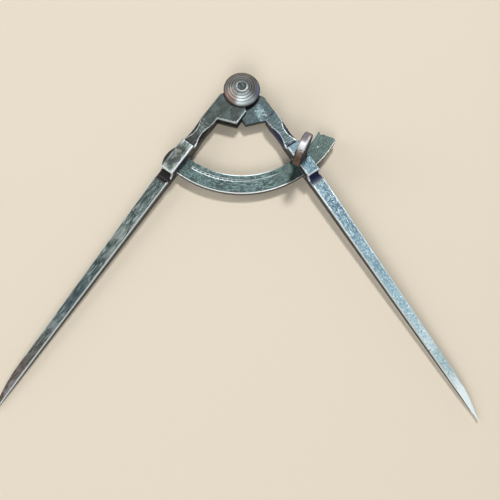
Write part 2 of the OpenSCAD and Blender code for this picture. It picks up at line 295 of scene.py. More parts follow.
bareSteel = layer("#d9e1e3", 0.6, 0.36)
# Painted contact shadow round the domed washer
washerShadow = layer("#0f0d10", 0.1, 0.6, 0.9)
# Painted shade for the upright faces
paintedSideShade = layer("#1d1d24", 0.25, 0.5, 0.95)
noLayer = layer("#000000", 0.0, 0.5, 0.0)  # stands for a layer that a finish does without
onFront = ("lean", -0.3, 0.3)  # marks that the back of a piece doesn't have

# The forked leg is the darker one, mottled grey-green, and brown towards its point
forkedLook = {
    "turn": halfOpening, "marksRun": "straight", "cloudMm": 4.0, "drawn": 2.8, "shift": (0, 0, 0),
    "grainMm": 0.8, "scratchWide": 0.5, "scratchLong": 5.5, "waves": 1.2, "scratchDepth": 0.4, "bump": 0.4,
    "gloss": 0.5,
    "dark": layer("#364847", 0.45, 0.48),
    "mid": layer("#647673", 0.5, 0.45),
    "pale": layer("#a9b8b4", 0.6, 0.4, 0.55),
    "pit": layer("#1f2626", 0.3, 0.58, 0.7),
    "shine": layer("#b4c0be", 0.6, 0.4, 0.75),
    "score": layer("#232b2d", 0.35, 0.52, 0.65),
    "bare": bareSteel,
    # Painted shade on the upright faces
    "sideShade": paintedSideShade,
    "bloom": layer("#3d3029", 0.2, 0.6, 0.6),
    "filed": layer("#6a6d6e", 0.45, 0.45, 0.45),
    # Painted shade in the corners and recesses
    "paintedShade": layer("#1c1410", 0.1, 0.6),
    "zones": [
        # Painted shade on the blotchy head and on the waist before the box; file marks across the waist
        (layer("#1d2723", 0.45, 0.47, 0.9), ("down", 37, 22)),
        (layer("#4b5a57", 0.45, 0.45, 0.5), ("blotch", 0.48, 0.66), ("down", 24, 19)),
        (layer("#24221e", 0.35, 0.52, 0.88), ("down", 27, 33), ("down", 39.4, 38.6), onFront),
        (layer("#8f9995", 0.5, 0.4, 0.5), ("cross", 0.52, 0.66), ("down", 22, 25), ("down", 35, 30)),
        # Painted contact shadow round the domed washer
        (washerShadow, ("radius", 10.2, 9.5)),
        # The left box is dark in the middle and pale round it
        (layer("#a8aca3", 0.5, 0.42, 0.6), ("blotch", 0.36, 0.56),
         ("down", 39.5, 40.2), ("down", 57.3, 56.6), onFront),
        (layer("#20251f", 0.35, 0.5, 0.45), ("out", 0.9, 3.2), ("out", 8.0, 5.6),
         ("down", 41.5, 45), ("down", 56, 52), onFront),
        (layer("#171b17", 0.35, 0.5, 0.65), ("blotch", 0.56, 0.42), ("out", 0.9, 2.6), ("out", 8.4, 6.4),
         ("down", 41, 44), ("down", 56.5, 53), onFront),
        # Below the box, painted reflection: dull, then pale, brown near the outer edge; then blue and brown
        (layer("#333f3c", 0.45, 0.47, 0.4), ("down", 60, 64), ("down", 84, 74)),
        (layer("#57483f", 0.35, 0.48, 0.5), ("out", 4.2, 6.8), ("cloud", 0.45, 0.6), ("down", 62, 68)),
        (layer("#a7aea6", 0.5, 0.42, 0.4), ("cloud", 0.42, 0.58), ("down", 76, 88), ("down", 122, 108)),
        (layer("#2c3d48", 0.45, 0.45, 0.55), ("down", 119, 129), ("down", 147, 138)),
        (layer("#98a2a2", 0.5, 0.4, 0.5), ("down", 148, 149.5), ("down", 154, 152), onFront),
        (layer("#5e4c3e", 0.4, 0.45, 0.75), ("down", 145, 180)),
        (layer("#a39d9f", 0.4, 0.42, 0.6), ("blotch", 0.42, 0.6), ("down", 168, 186)),
        # Painted shade makes the groove below the box black
        (layer("#25231f", 0.3, 0.5, 0.88), ("down", 57.4, 57.9), ("down", 63.4, 62.9), onFront),
    ],
}
# The tongued leg is blue-grey and painted brighter as painted reflection, and its tongue and waist get
# painted shade
tonguedLook = {
    **forkedLook,
    "turn": -halfOpening, "shift": (7, 3, 0), "grainMm": 0.65, "scratchWide": 0.45, "scratchLong": 1.8,
    "dark": layer("#3d5764", 0.5, 0.45),
    "mid": layer("#627d88", 0.5, 0.43),
    "pale": layer("#bcd3da", 0.6, 0.38, 0.8),
    "pit": layer("#24405a", 0.4, 0.52, 0.8),
    "shine": layer("#c9dfe5", 0.6, 0.38, 0.45),
    "score": layer("#345068", 0.4, 0.5, 0.55),
    # Painted shade, navy, in the corners and recesses
    "paintedShade": layer("#0e1440", 0.2, 0.5),
    "zones": [
        # Painted shade on the head, the tongue and the waist
        (layer("#1f302f", 0.45, 0.47, 0.86), ("down", 41, 36)),
        (layer("#44626a", 0.45, 0.45, 0.45), ("down", 39, 40), ("down", 58, 56.5), onFront),
        (layer("#93a9ac", 0.5, 0.4, 0.55), ("cross", 0.52, 0.66), ("down", 21, 24), ("down", 40, 36)),
        # Pale scuffs where the forked leg's corner rubs the tongue
        (layer("#8aa5ab", 0.4, 0.42, 0.45), ("blotch", 0.4, 0.6), ("aside", 3.6, 1.0),
         ("down", 9.0, 14.0), ("down", 21.2, 19.0), onFront),
        (layer("#b9d2d8", 0.4, 0.42, 0.55), ("torn", 0.48, 0.63), ("aside", 3.4, 0.8),
         ("down", 9.0, 13.0), ("down", 21.2, 20.0), onFront),
        # Painted contact shadow round the domed washer
        (washerShadow, ("radius", 10.4, 9.7), ("down", 22, 20)),
        # Painted reflection: paler and paler, nearly white, towards the point, and torn by blue marks
        (layer("#bfe4ec", 0.4, 0.4, 0.45), ("down", 88, 145)),
        (layer("#e8f8f8", 0.2, 0.4, 0.7), ("down", 130, 165)),
        (layer("#86a9aa", 0.35, 0.45, 0.5), ("down", 157, 163), ("down", 180, 172)),
        (layer("#f2fdfd", 0.15, 0.4, 0.85), ("down", 172, 186)),
        (layer("#5f8ba3", 0.35, 0.46, 0.6), ("torn", 0.47, 0.36), ("down", 64, 110), ("down", 180, 170)),
        (layer("#f6ffff", 0.15, 0.4, 0.75), ("torn", 0.55, 0.66), ("down", 90, 140)),
        (layer("#6b97ae", 0.35, 0.46, 0.65), ("grain", 0.46, 0.36), ("down", 85, 120), ("down", 184, 174)),
        # Painted highlight along the groove's worn shoulder, with a line of painted shade beyond it
        (layer("#cfe2e8", 0.6, 0.35, 0.85), ("down", 61.2, 61.6), ("down", 62.25, 61.9), onFront),
        (layer("#26353f", 0.4, 0.5, 0.75), ("down", 62.3, 62.5), ("down", 63.1, 62.8), onFront),
    ],
}
# Width and length in mm, detail and roughness: file marks across the waist, blotches, torn scuffs
legMarks = {"cross": (5.0, 0.55, 2, 0.5), "blotch": (3.2, 4.5, 3, 0.5), "torn": (1.3, 1.0, 3, 0.65)}
scuffStrip = 1.6  # mm, the scuffs' distance from the pivot's line


def legFields(side):
    def fields(tree, found):
        lengthwise = addNode(tree, "SeparateXYZ", {0: found["spot"]}, "Y")
        crosswise = addNode(tree, "SeparateXYZ", {0: found["spot"]}, "X")
        outwards = addNode(tree, "Math", {0: crosswise, 1: side}, operation="MULTIPLY")
        offStrip = addNode(tree, "Math", {0: outwards, 1: scuffStrip}, operation="SUBTRACT")
        marks = {
            "down": addNode(tree, "Math", {0: lengthwise, 1: -1.0}, operation="MULTIPLY"),
            "out": outwards,
            "aside": addNode(tree, "Math", {0: offStrip}, operation="ABSOLUTE"),
        }
        for name, (wide, long, detail, rough) in legMarks.items():
            spot = addNode(tree, "Mapping", {0: found["spot"], "Scale": (1 / wide, 1 / long, 1 / wide)})
            pattern = {"Vector": spot, "Scale": 1, "Detail": detail, "Roughness": rough}
            marks[name] = addNode(tree, "TexNoise", pattern, "Fac")
        return marks
    return fields


forkedSteel = agedSteel("forgedSteelDark", forkedLook, legFields(-1))
# This finish carries painted reflection: the tongued leg is painted brighter
tonguedSteel = agedSteel("forgedSteelPaintedSheen", tonguedLook, legFields(1))
print("leg finishes ready")

# Millimetres from the pivot, along the leg unless the name says otherwise, and shares of wear and painted
# shade
leg = {
    "bevel": 0.34, "support": (0.3, 0.6, 0.95), "longEdge": 3.0, "shortest": 0.12,
    "alongStep": 1.6, "acrossStep": 1.0,
    "cutAlong": (-7.0, 199.0), "cutAcross": (-7.4, 8.2), "cutUp": (3.1, 13.2),
    "middle": 4.45, "taper": 140.0, "headEnd": 20.5, "hollow": (24.6, 37.4), "fillet": (36.9, 39.6),
    "boxEdges": (36.8, 58.0), "boxNear": 39.8, "boxFoot": 57.0, "boxAbove": 11.0,
    "groove": (57.4, 62.3), "grooveEdge": 63.3, "level": 0.2,
    "reach": 1.0, "earReach": 2.0, "earAbove": 9.0, "furthest": 2.3, "shadeReach": 1.5,
    "underDome": 11.5, "domeRub": 0.5, "slotEdges": (2.9, 9.6), "slotRub": 0.35, "backRub": 0.6,
    "cornerShade": 0.9, "recessShade": 0.92, "hollowShade": 0.75, "hollowLean": 0.85,
    "grooveHeights": (8.5, 13.2), "filletHeights": (10.05, 13.2),
    "pointRub": 183.0, "pointFrom": 196.5, "mouth": (2.6, 9.0),
    "nickDown": 160.3, "nickHalf": 0.8, "nickDeep": 0.5, "nickWide": 0.5, "nickRing": 0.05,
}
forkedWear = {
    "inner": 1.4, "outer": 0.8, "outerEnd": 0.35, "point": 0.7, "waist": 0.85, "head": 0.75, "groove": 0.25,
    "boxInner": 1.1, "boxOuter": 0.55, "boxNear": 0.6, "boxReach": 1.6, "grooveUnshaded": 0.0, "nick": False,
}
tonguedWear = {
    "inner": 1.6, "outer": 1.2, "outerEnd": 1.2, "point": 0.35, "waist": 0.85, "head": 0.5, "groove": 0.7,
    "boxInner": 1.0, "boxOuter": 0.6, "boxNear": 0.6, "boxReach": 1.2, "grooveUnshaded": 1.6, "nick": True,
}


def within(value, limits):
    return limits[0] < value < limits[1]


def makeLeg(node, name, side, material, body, worn):
    along = Vector((side * math.sin(halfOpening), -math.cos(halfOpening), 0))
    inwards = Vector((-side * math.cos(halfOpening), -math.sin(halfOpening), 0))

    # How bright an edge is rubbed, and how far into the faces
    def wear(edge):
        middle = (edge.verts[0].co + edge.verts[1].co) / 2 / mm
        down, across = middle.dot(along), -middle.dot(inwards)
        level = abs(edge.verts[0].co.z - edge.verts[1].co.z) < leg["level"] * mm
        inner = across < leg["middle"]
        if down > leg["taper"]:  # both edges come to the pivot's line, so their faces tell them apart
            inner = sum(f.normal.dot(inwards) for f in edge.link_faces) > 0
        weight, reach = worn["inner" if inner else "outer"], leg["reach"]
        if within(down, leg["boxEdges"]) and middle.z > leg["boxAbove"]:
            weight = worn["boxInner" if inner or down > leg["boxFoot"] else "boxOuter"]
            weight = worn["boxNear"] if down < leg["boxNear"] else weight
            reach = worn["boxReach"]
        elif leg["groove"][0] < down < leg["grooveEdge"] and level:
            weight = worn["groove"]
        elif leg["headEnd"] < down < leg["hollow"][1]:
            weight = worn["waist"]
        elif down > leg["taper"] and not inner:
            weight = worn["outerEnd"]
        elif down < leg["headEnd"]:
            weight = worn["head"]
            weight *= leg["domeRub"] if middle.to_2d().length < leg["underDome"] else 1.0
            weight *= leg["slotRub"] if within(middle.z, leg["slotEdges"]) else 1.0
            reach = leg["earReach"] if across < 0 and middle.z > leg["earAbove"] else leg["reach"]
        if down > leg["pointRub"]:
            weight *= worn["point"]
        if middle.z < midHeight:
            weight *= leg["backRub"]
        return weight, reach

    bm = copyOfNode(node, leg["shortest"])
    rubbed, paintedShade, long = [], [], []
    for edge in sharpEdges(bm, sharpDegrees):
        # Concave edges spread painted shade
        if not edge.is_convex:
            paintedShade += samplesOn(edge, leg["cornerShade"], leg["shadeReach"])
            continue
        rubbed += samplesOn(edge, *wear(edge))
        if edge.calc_length() > leg["longEdge"] * mm:
            a, b = (v.co.copy() for v in edge.verts)
            for face in edge.link_faces:
                into = (b - a).cross(face.normal).normalized()
                into *= 1 if (face.calc_center_median() - a).dot(into) > 0 else -1
                long.append((a, b, face.normal.copy(), into))
    # The point, and the mouth of the screw's hole inside the box
    cutPlane(bm, along * (leg["pointFrom"] * mm), along)
    screwSpot = (along * screwDown - inwards * screwOut).to_2d()
    mouthRadius, mouthTop = leg["mouth"]
    spared = {v for v in bm.verts if v.co.dot(along) > (leg["pointFrom"] + nearly) * mm
              or (v.co.to_2d() / mm - screwSpot).length < mouthRadius and v.co.z < mouthTop * mm}
    bevelSharp(bm, leg["bevel"], sharpDegrees, spared)
    cutInSteps(bm, along, *leg["cutAlong"], leg["alongStep"])
    cutInSteps(bm, inwards, *leg["cutAcross"], leg["acrossStep"])
    cutInSteps(bm, upright, *leg["cutUp"], leg["acrossStep"])
    for a, b, faceNormal, into in long:
        supportCuts(bm, a, b, faceNormal, into, leg["support"])
    paintNear(bm, "rubbed", rubbed, leg["furthest"])
    # Painted shade spreads from the concave edges
    paintNear(bm, "paintedShade", paintedShade, leg["shadeReach"])
    # Painted shade darkens the groove below the box, the fillet above it and the hollows of the waist
    bm.normal_update()
    shadeLayer, bright = bm.verts.layers.float["paintedShade"], bm.verts.layers.float["rubbed"]
    grooveShadeSpan = (leg["groove"][0], leg["groove"][1] - worn["grooveUnshaded"])
    for v in bm.verts:
        down, height = v.co.dot(along) / mm, v.co.z / mm
        inGroove = within(down, grooveShadeSpan) and within(height, leg["grooveHeights"])
        inFillet = within(down, leg["fillet"]) and within(height, leg["filletHeights"])
        if inGroove or inFillet:
            v[shadeLayer] = leg["recessShade"]
        if within(down, leg["hollow"]) and abs(v.normal.z) < leg["hollowLean"]:
            v[shadeLayer] = leg["hollowShade"]
            v[bright] = 0
    if worn["nick"]:
        # A small nick in the inner edge, near the point
        nickFrom, nickTo = leg["nickDown"] - leg["nickHalf"], leg["nickDown"] + leg["nickHalf"]
        cutInSteps(bm, along, nickFrom, nickTo, leg["nickHalf"])
        ring = [v for v in bm.verts if abs(v.co.dot(along) / mm - leg["nickDown"]) < leg["nickRing"]]
        innermost = max(v.co.dot(inwards) for v in ring) - leg["nickWide"] * mm
        highest = max(v.co.z for v in ring) - leg["nickWide"] * mm
        for v in ring:
            if v.co.dot(inwards) > innermost and v.co.z > highest:
                v.co -= (inwards + upright) * leg["nickDeep"] * mm
                v[bright] = 0
    makePiece(bm, name, material, body, node)


makeLeg("left_leg", "forkedLeg", -1, forkedSteel, "forked_side", forkedWear)
makeLeg("right_leg", "tongueLeg", 1, tonguedSteel, "tongue_side", tonguedWear)
print("legs ready")

# Radii in mm and bearings in degrees about the pivot
wing = {
    "outer": 54.4, "top": 7.5, "bevel": 0.22, "shortest": 0.01, "turnStep": 1.5, "turns": (-28, 40),
    "rings": 20,
    "track": 47.45, "trackHalf": 0.5, "trackDepth": 0.07, "trackFrom": -31, "trackTo": 10, "trackEnd": 26,
    "trackFade": 0.5, "chatterMm": 2.3, "speck": (48.5, 53.3),
    "end": 61.0, "beyondEnd": 90.0, "askew": 0.9, "askewFrom": 48.5, "corner": 1.3, "cornerFrom": 52.8,
    "long": 6.0, "radialShare": 0.8, "notch": 46.2, "notchAt": 62.0, "notchHalf": 1.0,
    "filletEnd": -34.0, "filletOut": 46.0,
}
trackStart = ("bearing", -31.5, -30.5)
# The wing is flat sheet, darker and greener, with the track of the screw's tip along it
wingLook = {
    **forkedLook,
    "turn": 0.0, "marksRun": "round", "arcMm": 49.5, "shift": (2, 5, 0), "drawn": 1.3, "cloudMm": 3.6,
    "scratchLong": 3.5,
    "dark": layer("#2f4340", 0.45, 0.48),
    "mid": layer("#4a6262", 0.5, 0.46),
    "pale": layer("#829a9a", 0.55, 0.42, 0.6),
    "pit": layer("#1e2a27", 0.3, 0.57, 0.7),
    "shine": layer("#8ba09e", 0.55, 0.42, 0.4),
    "score": layer("#25322f", 0.35, 0.52, 0.4),
    "zones": [
        # The free end is duller, with one bright speck
        (layer("#34463f", 0.4, 0.5, 0.55), ("bearing", 12, 28)),
        (layer("#b4c2bf", 0.6, 0.38, 0.7), ("speck", 0.5, 0.2), onFront),
        # Two burnished lips of the track, bright as painted highlight too, with chatter marks between them,
        # then one faint line
        (layer("#1d2926", 0.35, 0.5, 0.8), ("beside", 0.4, 0.2), trackStart, ("bearing", 14, 0), onFront),
        (layer("#cbd7d6", 0.5, 0.4, 0.85), ("beside", 0.26, 0.42), ("beside", 0.74, 0.56), trackStart,
         ("bearing", 14, -14), onFront),
        (layer("#cbd7d6", 0.5, 0.4, 0.7), ("chatter", 0.45, 0.95), ("beside", 0.6, 0.4), trackStart,
         ("bearing", 6, -16), onFront),
        (layer("#aab8b7", 0.6, 0.36, 0.5), ("beside", 0.35, 0.1), ("bearing", 27, 20), ("bearing", -6, 8),
         onFront),
        # Painted highlight along the outer edge all along, and along the inner edge only in the middle
        (layer("#cbc8be", 0.6, 0.38, 0.85), ("radius", 53.75, 54.05), ("bearing", -46, -45),
         ("bearing", 62.5, 60)),
        (layer("#e6eae8", 0.5, 0.38, 0.95), ("radius", 53.65, 54.0), ("bearing", -46, -42),
         ("bearing", 38, 20)),
        (layer("#d0d9da", 0.6, 0.34, 0.8), ("radius", 45.35, 44.9), ("bearing", -24, -6), ("bearing", 34, 8)),
        # The peened head outside the box is black
        (layer("#1b181c", 0.25, 0.5), ("bearing", -40, -42)),
    ],
}


def wingFields(tree, found):
    off = addNode(tree, "Math", {0: found["radius"], 1: wing["track"]}, operation="SUBTRACT")
    marks = wing["track"] * 2 * math.pi / wing["chatterMm"]
    wobble = addNode(tree, "Math", {0: found["turn"], 1: marks, 2: found["cloud"]}, operation="MULTIPLY_ADD")
    reach, turn = wing["speck"][0], math.radians(wing["speck"][1])
    spot = (reach * math.sin(turn), reach * math.cos(turn), 0)
    return {
        "beside": addNode(tree, "Math", {0: off}, operation="ABSOLUTE"),
        "chatter": addNode(tree, "Math", {0: wobble}, operation="SINE"),
        "speck": addNode(tree, "VectorMath", {0: found["flat"], 1: spot}, "Value", operation="DISTANCE"),
    }


def bearingOf(co):
    return math.degrees(math.atan2(co.x, -co.y))


def radiusOf(co):
    return co.to_2d().length / mm


# Long edges that run away from the pivot, between two bearings
def radialEdges(bm, start, end):
    chosen = []
    for edge in bm.edges:
        length = edge.calc_length()
        a, b = (v.co for v in edge.verts)
        radial = abs(radiusOf(a) - radiusOf(b)) * mm > wing["radialShare"] * length
        if length > wing["long"] * mm and radial and start < bearingOf(a) < end:
            chosen.append(edge)
    return chosen


wingSteel = agedSteel("sheetSteelGreen", wingLook, wingFields)
bm = copyOfNode("wing", wing["shortest"])
bmesh.ops.subdivide_edges(bm, edges=radialEdges(bm, wing["end"], wing["beyondEnd"]), cuts=wing["rings"])
# No room for rounds in the notch of the free end and in the fillet at the left box
notchTurn = math.radians(wing["notchAt"])
notch = Vector((math.sin(notchTurn), -math.cos(notchTurn))) * wing["notch"]
spared = {v for v in bm.verts if (v.co.to_2d() / mm - notch).length < wing["notchHalf"]
          or bearingOf(v.co) < wing["filletEnd"] and radiusOf(v.co) < wing["filletOut"]}
bevelSharp(bm, wing["bevel"], sharpDegrees, spared)
firstTurn, lastTurn = wing["turns"]
for i in range(firstTurn, lastTurn + 1):
    turn = math.radians(i * wing["turnStep"])
    cutPlane(bm, (0, 0, 0), (math.cos(turn), math.sin(turn), 0))
bmesh.ops.subdivide_edges(bm, edges=radialEdges(bm, wing["filletEnd"], wing["end"]), cuts=wing["rings"],
                          use_grid_fill=True)
askewWide = wing["outer"] - wing["askewFrom"]
cornerWide = wing["outer"] - wing["cornerFrom"]
for v in bm.verts:
    bearing, radius = bearingOf(v.co), radiusOf(v.co)
    # The free end is cut askew, its corner is rounded
    if bearing > wing["end"] and radius > wing["askewFrom"]:
        onwards = wing["askew"] * (radius - wing["askewFrom"]) / askewWide
        onwards -= wing["corner"] * max(0, (radius - wing["cornerFrom"]) / cornerWide) ** 2
        turn = math.radians(bearing)
        v.co += Vector((math.cos(turn), math.sin(turn), 0)) * onwards * mm
    # The screw's tip has worn a shallow track
    inTrack = abs(radius - wing["track"]) < wing["trackHalf"]
    inTrack = inTrack and wing["trackFrom"] < bearing < wing["trackEnd"]
    if inTrack and v.co.z > (wing["top"] - nearly) * mm:
        v.co.z -= wing["trackDepth"] * mm * (1.0 if bearing < wing["trackTo"] else wing["trackFade"])
bm.normal_update()
makePiece(bm, "wingArc", wingSteel, "forked_side", "wing")
print("wing ready")

dome = {
    "radius": 9.3, "base": 10.0, "rim": 0.5, "height": 5.0, "bore": 2.22, "rivet": 2.2, "ring": 1.25,
    "rings": 5, "step": 0.2, "steps": 96, "skirt": 4, "lip": 0.05, "lipDegrees": 40,
}
stepFoot, stepLip = ("phase", 0.36, 0.1), ("phase", 0.6, 0.92)
seat = ("radius", 3.7, 3.3)
shade = layer("#4a4643", 0.7, 0.42, 0.65)
rimShade = layer("#2e2927", 0.6, 0.46, 0.7)
# The washers are lathe work: fine rings, a highlight like a wedge, and tints of old heat towards the rim
domeLook = {
    **forkedLook,
    "turn": 0.0, "marksRun": "turned", "stretch": 0.75, "drawn": 1.0, "cloudMm": 3.0, "grainMm": 0.6,
    "scratchWide": 0.4, "scratchLong": 1, "waves": 0.3, "scratchDepth": 1.2,
    "dark": layer("#86827b", 0.8, 0.38),
    "mid": layer("#a8a7a1", 0.85, 0.36),
    "pale": layer("#c4caca", 0.85, 0.34, 0.3),
    "pit": layer("#5d5954", 0.6, 0.45, 0.3),
    "shine": layer("#c6cccc", 0.85, 0.34, 0.4),
    "score": layer("#57534f", 0.7, 0.42, 0.3),
    # Painted shade on the upright rim
    "sideShade": layer("#2a2826", 0.4, 0.5, 0.6),
    "bloom": noLayer,
    "filed": layer("#6a6d6e", 0.45, 0.45, 0.3),
    "zones": [
        # Painted highlight over the front of the dome
        (layer("#d3e2e2", 0.55, 0.42, 0.75), ("radius", 2.6, 3.4),
         ("bearing", -35, -12), ("bearing", 78, 45)),
        # Old heat: brown at the lower left, purple at the right with a blue rim
        (layer("#a58478", 0.7, 0.42, 0.7), ("radius", 4.2, 7.4),
         ("bearing", -98, -68), ("bearing", -14, -30)),
        (layer("#6a5f70", 0.7, 0.42, 0.65), ("radius", 4.5, 7.6), ("bearing", 38, 70), ("bearing", 165, 120)),
        (layer("#5b80bd", 0.6, 0.4, 0.8), ("radius", 7.7, 8.8), ("bearing", 58, 78), ("bearing", 118, 98)),
        # Painted shade on the right rear and the left of the dome and of its rim, and a line of painted
        # shadow round its edge
        (shade, ("radius", 3.2, 5.0), ("bearing", 90, 140)),
        (shade, ("radius", 3.2, 5.0), ("bearing", -66, -112)),
        (rimShade, ("radius", 8.3, 9.0), ("bearing", 110, 135)),
        (rimShade, ("radius", 8.3, 9.0), ("bearing", -60, -110)),
        (layer("#1d1a1a", 0.4, 0.5, 0.8), ("radius", 8.85, 9.2)),
        # Each turned step has painted shade at its foot and a painted highlight at its lip, fading out
        # towards the rim
        (layer("#46423d", 0.7, 0.42, 0.75), stepFoot, ("radius", 8.6, 6.0)),
        (layer("#cfd7d6", 0.85, 0.34, 0.6), stepLip, ("radius", 8.2, 5.4)),
        # The ring next to the rivet is dull, with painted shade behind
        (layer("#9aa09d", 0.7, 0.5, 0.85), seat),
        (layer("#4f524f", 0.6, 0.55, 0.8), seat, ("bearing", 70, 130)),
        (layer("#4f524f", 0.6, 0.55, 0.6), seat, ("bearing", -110, -160)),
    ],
}


def domeFields(tree, found):
    oneRing = {0: found["radius"], 1: dome["rivet"], 2: dome["rivet"] + dome["ring"]}
    rings = addNode(tree, "MapRange", oneRing, clamp=False)
    return {"phase": addNode(tree, "Math", {0: rings}, operation="FRACT")}


ball = (dome["radius"] ** 2 + dome["height"] ** 2) / (2 * dome["height"])
rimTop = dome["base"] + dome["rim"]
ballCentre = rimTop + dome["height"] - ball


def domeHeight(r):
    return ballCentre + math.sqrt(ball ** 2 - r ** 2)


domeSteel = agedSteel("turnedSteelTinted", domeLook, domeFields)
outline = [(dome["bore"], dome["base"]), (dome["radius"], dome["base"]), (dome["radius"], rimTop)]
last = dome["rivet"] + dome["rings"] * dome["ring"]
for i in range(1, dome["skirt"] + 1):
    r = dome["radius"] + (last - dome["radius"]) * i / dome["skirt"]
    outline.append((r, domeHeight(r)))
for i in range(dome["rings"], 0, -1):
    r = dome["rivet"] + (i - 1) * dome["ring"]
    outline.append((max(r, dome["bore"]), domeHeight(r) - dome["step"]))
    if i > 1:
        outline.append((r, domeHeight(r)))
bm = bmesh.new()
spinOutline(bm, outline, dome["steps"])
bevelSharp(bm, dome["lip"], dome["lipDegrees"])
makePiece(bm, "domedWasher", domeSteel, "forked_side", "front_washer")

# The back washer is the same work, dulled because the divider lies on it
backWasher = {
    "bevel": 0.1, "weight": 0.5, "reach": 0.4, "rubAbove": -1.0, "roundAbove": -1.0, "shortest": 0.12,
}
backLook = {
    **domeLook,
    "dark": layer("#55514c", 0.6, 0.45),
    "mid": layer("#77756f", 0.7, 0.42),
    "zones": [
        (layer("#3a302a", 0.5, 0.5, 0.7), ("radius", 4.5, 9.0), ("cloud", 0.42, 0.6)),
        # Painted shade at each step's foot and a painted highlight at its lip
        (layer("#2f2b28", 0.5, 0.5, 0.6), stepFoot),
        (layer("#a9b0af", 0.75, 0.38, 0.45), stepLip),
    ],
}
backSteel = agedSteel("turnedSteelPlain", backLook, domeFields)


# Edges are rounded and rubbed only above the given heights
def makePlain(node, name, material, body, edge):
    bm = copyOfNode(node, edge["shortest"])
    rubbed = []
    for e in sharpEdges(bm, sharpDegrees):
        if e.is_convex and min(v.co.z for v in e.verts) > edge["rubAbove"] * mm:
            rubbed += samplesOn(e, edge["weight"], edge["reach"])
    spared = {v for v in bm.verts if v.co.z < edge["roundAbove"] * mm}
    bevelSharp(bm, edge["bevel"], sharpDegrees, spared)
    paintNear(bm, "rubbed", rubbed, edge["reach"])
    makePiece(bm, name, material, body, node)


makePlain("back_washer", "backWasher", backSteel, "forked_side", backWasher)

# The rivet's front end was peened with a hammer: dark, dented, bright only on the dents' rims
rivet = {"radius": 2.2, "crown": 0.25, "face": 1.75, "rounds": 6, "steps": 40, "dent": 0.06, "dentMm": 1.3}
# Without the painted shade of the upright faces, and without bloom and file marks
noSideShade = {"sideShade": noLayer, "bloom": noLayer, "filed": noLayer}
rivetLook = {
    **forkedLook, **noSideShade,
    "turn": 0.0, "cloudMm": 1.6, "drawn": 1.0, "grainMm": 0.5, "waves": 1.0, "bump": 0.3,
    "dark": layer("#303b3b", 0.35, 0.66),
    "mid": layer("#4d5a59", 0.35, 0.62),
    "pale": layer("#85928f", 0.4, 0.55, 0.4),
    "shine": layer("#85928f", 0.4, 0.55, 0.2),
    "score": layer("#232b2d", 0.35, 0.6, 0.25),
    "zones": [],
}
rivetSteel = agedSteel("peenedSteel", rivetLook)

crownFoot = domeHeight(rivet["radius"]) - dome["step"]
crownTop = crownFoot + rivet["crown"]
outline = [(0, 0), (rivet["radius"], 0), (rivet["radius"], crownFoot)]
outline += [(rivet["face"] * (1 - i / rivet["rounds"]), crownTop) for i in range(rivet["rounds"] + 1)]
bm = bmesh.new()
spinOutline(bm, outline, rivet["steps"])
for v in bm.verts:
    if v.co.z > (crownTop - nearly) * mm:
        depth = (1 + noise.noise(v.co / (rivet["dentMm"] * mm))) / 2
        v.co.z -= rivet["dent"] * mm * depth
bm.normal_update()
makePiece(bm, "pivotRivet", rivetSteel, "forked_side", "pivot_rivet")
print("pivot ready")

# Heights, radii and lengths in mm; the ridge's corners are shares of the pitch
screw = {
    "tip": 7.53, "tipRadius": 1.2, "cone": 0.73, "root": 1.86, "crest": 2.18, "pitch": 1.0,
    "ridge": (0.4, 0.55, 0.95), "threadFrom": 8.4, "threadGap": 0.05, "neck": 14.55, "spigot": 1.3,
    "spigotLong": 2.6, "steps": 32, "merge": 0.005,
}
thumb = {
    "bevel": 0.3, "weight": 0.5, "reach": 0.6, "rubAbove": 22.0, "roundAbove": 18.2, "shortest": 0.01,
    "faceTurn": math.radians(23.8),
}
screwX = screwDown * math.sin(halfOpening) + screwOut * math.cos(halfOpening)
screwY = screwOut * math.sin(halfOpening) - screwDown * math.cos(halfOpening)
# The clamp screw has a brown patina
screwLook = {
    **forkedLook, **noSideShade,
    "turn": 0.0, "cloudMm": 3.5, "drawn": 1.0, "grainMm": 0.7,
    "dark": layer("#665850", 0.6, 0.42),
    "mid": layer("#8a817c", 0.65, 0.37),
    "pale": layer("#b4b3b1", 0.7, 0.33, 0.3),
    "pit": layer("#352c28", 0.4, 0.5, 0.45),
    "shine": layer("#b4b3b1", 0.7, 0.33, 0.25),
    "score": layer("#453b37", 0.5, 0.45, 0.25),
    "zones": [],
}
flatFace = ("facing", 0.86, 0.96)
# Its thumb piece has rubbed edges and a painted highlight across the rim, and painted shade, dark purple, on
# the flat faces
thumbLook = {
    **screwLook,
    "gloss": 0.15,
    "zones": [
        # Painted highlight across the middle of the rim
        (layer("#f0f2f4", 0.2, 0.42, 0.95), ("rearwards", -4.8, -2.0), ("rearwards", 2.6, 0.2)),
        # Painted brown reflection at the front end of the rim
        (layer("#5a4534", 0.5, 0.48, 0.65), ("rearwards", -3.0, -5.5)),
        (layer("#8b8488", 0.3, 0.7, 0.85), ("rearwards", -0.8, 1.8)),
        (layer("#241a16", 0.3, 0.55, 0.75), ("grain", 0.47, 0.38), ("rearwards", -0.5, -3.5)),
        # Painted highlight on the rear half of one bevel; the other bevel is darker, and painted shade
        # darkens the flat faces
        (layer("#e3eaf2", 0.4, 0.36, 0.9), ("sideways", 0.6, 1.4), ("rearwards", -2.5, -0.5),
         ("rearwards", 6.5, 4.0)),
        (layer("#2a2224", 0.2, 0.6, 0.75), ("sideways", -1.3, -1.7)),
        (layer("#22151b", 0.1, 0.7, 0.93), flatFace),
        (layer("#4a3237", 0.3, 0.6, 0.5), flatFace, ("cloud", 0.48, 0.66)),
        (layer("#7d7470", 0.45, 0.5, 0.3), flatFace, ("grain", 0.56, 0.68)),
        # Painted shade on the neck and the lowest part of the disc
        (layer("#1f1719", 0.1, 0.7, 0.9), ("height", 20.5, 18.5)),
    ],
}


